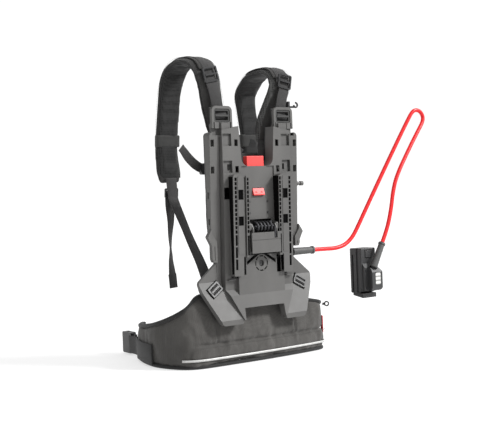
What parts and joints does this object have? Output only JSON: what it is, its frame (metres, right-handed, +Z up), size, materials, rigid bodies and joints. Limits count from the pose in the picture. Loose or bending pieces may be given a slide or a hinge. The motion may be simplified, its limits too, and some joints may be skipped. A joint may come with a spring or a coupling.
{
  "type": "backpack carrier with battery dock",
  "caption": "Backpack carrier with a moulded plate and battery dock, padded harness and hip belt, and a red cord to a battery-shaped adapter.",
  "frame": {"origin": "middle of the carrier's width and depth, at the hip belt's lower edge, measured without the cord and adapter", "axes": "+X to the wearer's right as seen from behind, +Y towards the wearer's front, +Z up"},
  "size_m": [0.6921, 0.3599, 0.6154],
  "materials": {
    "plate_grey": "satin",
    "black_plastic": "satin",
    "coral_plastic": "satin",
    "charcoal_fabric": "woven",
    "black_mesh": "mesh",
    "webbing": "woven",
    "reflective": "satin",
    "spring_steel": "brushed",
    "contact_brass": "plain",
    "red_cable": "satin",
    "boot_rubber": "matte"
  },
  "bodies": {
    "harness": {"adapter_body": "black_plastic", "adapter_boot": "boot_rubber", "adapter_contacts": "black_plastic", "adapter_cover": "black_plastic", "adapter_screws": "spring_steel", "back_pad": "black_mesh", "back_plate": "plate_grey", "belt_buckle_plug": "black_plastic", "belt_buckle_socket": "black_plastic", "belt_ring": "black_plastic", "belt_webbing": "webbing", "belt_wing_left": "charcoal_fabric", "belt_wing_right": "charcoal_fabric", "boss_cap": "plate_grey", "chest_buckle_plug": "black_plastic", "chest_buckle_socket": "black_plastic", "chest_webbing": "webbing", "controller_housing": "black_plastic", "cord_boot": "boot_rubber", "cord_gland": "black_plastic", "dock_rail_left": "plate_grey", "dock_rail_right": "plate_grey", "ejector_pin": "spring_steel", "ejector_spring": "spring_steel", "foot_triglides": "black_plastic", "guide_hook": "black_plastic", "guide_peg": "plate_grey", "inner_lead": "boot_rubber", "ladder_locks": "black_plastic", "latch_spring": "spring_steel", "load_lifter_left": "webbing", "load_lifter_right": "webbing", "lower_webbing": "webbing", "lumbar_belt": "charcoal_fabric", "lumbar_pad": "black_mesh", "plate_screws": "spring_steel", "power_cord": "red_cable", "rail_liners": "black_plastic", "rear_cover": "black_plastic", "reflective_piping": "reflective", "root_buckles": "black_plastic", "root_webbing": "webbing", "shoulder_pad_left": "charcoal_fabric", "shoulder_pad_right": "charcoal_fabric", "side_clips": "plate_grey", "strap_adjusters": "black_plastic", "strap_keepers": "webbing", "terminal_blades": "contact_brass", "terminal_block": "black_plastic", "webbing_tails": "webbing"},
    "carrier_left": {"carrier_left": "plate_grey", "carrier_triglide_left": "black_plastic"},
    "carrier_right": {"carrier_right": "plate_grey", "carrier_triglide_right": "black_plastic"},
    "release": {"release_button": "coral_plastic", "latch_slider": "black_plastic"},
    "latch": {"latch_catch": "coral_plastic"},
    "ejector": {"ejector_flap": "plate_grey"},
    "adapter_button": {"adapter_latch": "black_plastic"}
  },
  "joints": [
    {"name": "carrier_left_slide", "type": "slide", "parent": "harness", "child": "carrier_left", "axis": [0, 0, 1], "range_m": [0, 0.0265]},
    {"name": "carrier_right_slide", "type": "slide", "parent": "harness", "child": "carrier_right", "axis": [0, 0, 1], "range_m": [0, 0.0265]},
    {"name": "release_press", "type": "slide", "parent": "harness", "child": "release", "axis": [0, 0, -1], "range_m": [0, 0.006], "stiffness_N_per_m": 900, "springref_m": -0.003, "deforming": ["latch_spring"]},
    {"name": "latch_travel", "type": "slide", "parent": "harness", "child": "latch", "axis": [0, 1, 0], "range_m": [0, 0.006]},
    {"name": "ejector_hinge", "type": "hinge", "parent": "harness", "child": "ejector", "pos_m": [0, -0.1669, 0.2725], "axis": [1, 0, 0], "range_deg": [0, 12], "stiffness_Nm_per_rad": 0.6, "springref_deg": -8.59},
    {"name": "adapter_latch_press", "type": "slide", "parent": "harness", "child": "adapter_button", "axis": [0, 1, 0], "range_m": [0, 0.003], "stiffness_N_per_m": 800, "springref_m": -0.002}
  ],
  "couplings": [
    {"joint": "latch_travel", "follows": "release_press", "ratio": 1}
  ]
}
